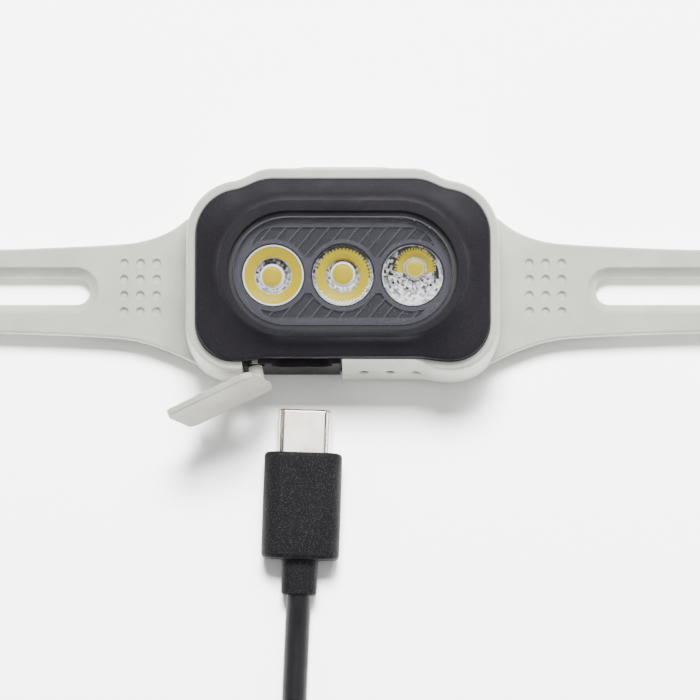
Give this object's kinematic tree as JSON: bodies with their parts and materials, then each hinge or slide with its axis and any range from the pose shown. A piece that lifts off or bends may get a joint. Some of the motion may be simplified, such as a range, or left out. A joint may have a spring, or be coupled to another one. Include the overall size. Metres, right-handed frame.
{
  "type": "headlamp",
  "caption": "Rechargeable headlamp: round-ended front window over collimated lights, silicone wings, elastic headband, swing-out port cover and a charging cable.",
  "frame": {"origin": "centre of the lamp's flat silicone back, on the surface it lies on", "axes": "+Z out of the lamp along its beam, +Y towards the lamp's top edge (the power button), +X to the right seen from the front"},
  "size_m": [0.2062, 0.2345, 0.0206],
  "materials": {
    "charcoal_plastic": "fine moulded texture, satin",
    "panel_plastic": "fine moulded texture with raised ribs",
    "silicone": "soft matte silicone",
    "clear_plastic": "clear moulded polycarbonate",
    "phosphor": "yellow phosphor under a clear dome",
    "circuit_board": "green solder mask",
    "black_plastic": "moulded",
    "plug_plastic": "fine spark texture",
    "cable_jacket": "satin jacket",
    "nickel": "nickel plate",
    "steel": "zinc-plated",
    "foil": "foil pouch",
    "foam": "closed-cell foam",
    "rubber": "matte",
    "webbing": "woven elastic",
    "light_guide": "frosted acrylic"
  },
  "bodies": {
    "lamp": {"front_cover": "charcoal_plastic", "lens_window": "clear_plastic", "optic_panel": "panel_plastic", "optic_left": "clear_plastic", "optic_centre": "clear_plastic", "optic_right": "clear_plastic", "light_chip_left": "phosphor", "light_chip_centre": "phosphor", "light_chip_right": "phosphor", "rear_housing": "charcoal_plastic", "housing_seal": "rubber", "housing_screw_1": "steel", "housing_screw_2": "steel", "housing_screw_3": "steel", "housing_screw_4": "steel", "main_board": "circuit_board", "usb_socket": "nickel", "usb_socket_tongue": "black_plastic", "tact_switch": "steel", "driver_chip": "black_plastic", "inductor": "foam", "battery_cell": "foil", "battery_pad": "foam", "gauge_light_1": "phosphor", "gauge_light_2": "phosphor", "gauge_light_3": "phosphor", "gauge_light_guide": "light_guide", "silicone_cradle": "silicone", "port_cover_anchor": "silicone", "elastic_band": "webbing", "plug_c_shell": "nickel", "plug_c_contacts": "black_plastic", "plug_c_grip": "plug_plastic", "plug_c_relief": "plug_plastic", "charge_cable": "cable_jacket", "charge_cable_coil": "cable_jacket", "charge_cable_tail": "cable_jacket", "cable_tie": "black_plastic", "plug_a_relief": "plug_plastic", "plug_a_grip": "plug_plastic", "plug_a_shell": "nickel", "plug_a_tongue": "light_guide"},
    "charging_port_cover": {"port_cover": "silicone"},
    "push_button": {"power_button": "silicone"},
    "switch_stem": {"switch_plunger": "black_plastic"},
    "strap_slider": {"band_slider": "charcoal_plastic"}
  },
  "joints": [
    {"name": "port_cover_swing", "type": "hinge", "parent": "lamp", "child": "charging_port_cover", "pos_m": [-0.01354, -0.01441, 0.01107], "axis": [-0.193, 0.9752, -0.108], "range_deg": [0, 197.1]},
    {"name": "power_button_press", "type": "slide", "parent": "lamp", "child": "push_button", "axis": [0, -1, 0], "range_m": [0, 0.0005], "stiffness_N_per_m": 300},
    {"name": "switch_stem_travel", "type": "slide", "parent": "lamp", "child": "switch_stem", "axis": [0, -1, 0], "range_m": [0, 0.0005]},
    {"name": "strap_slider_travel", "type": "slide", "parent": "lamp", "child": "strap_slider", "axis": [0, 1, 0], "range_m": [-0.012, 0.012]}
  ],
  "couplings": [
    {"joint": "switch_stem_travel", "follows": "power_button_press", "ratio": 1}
  ]
}
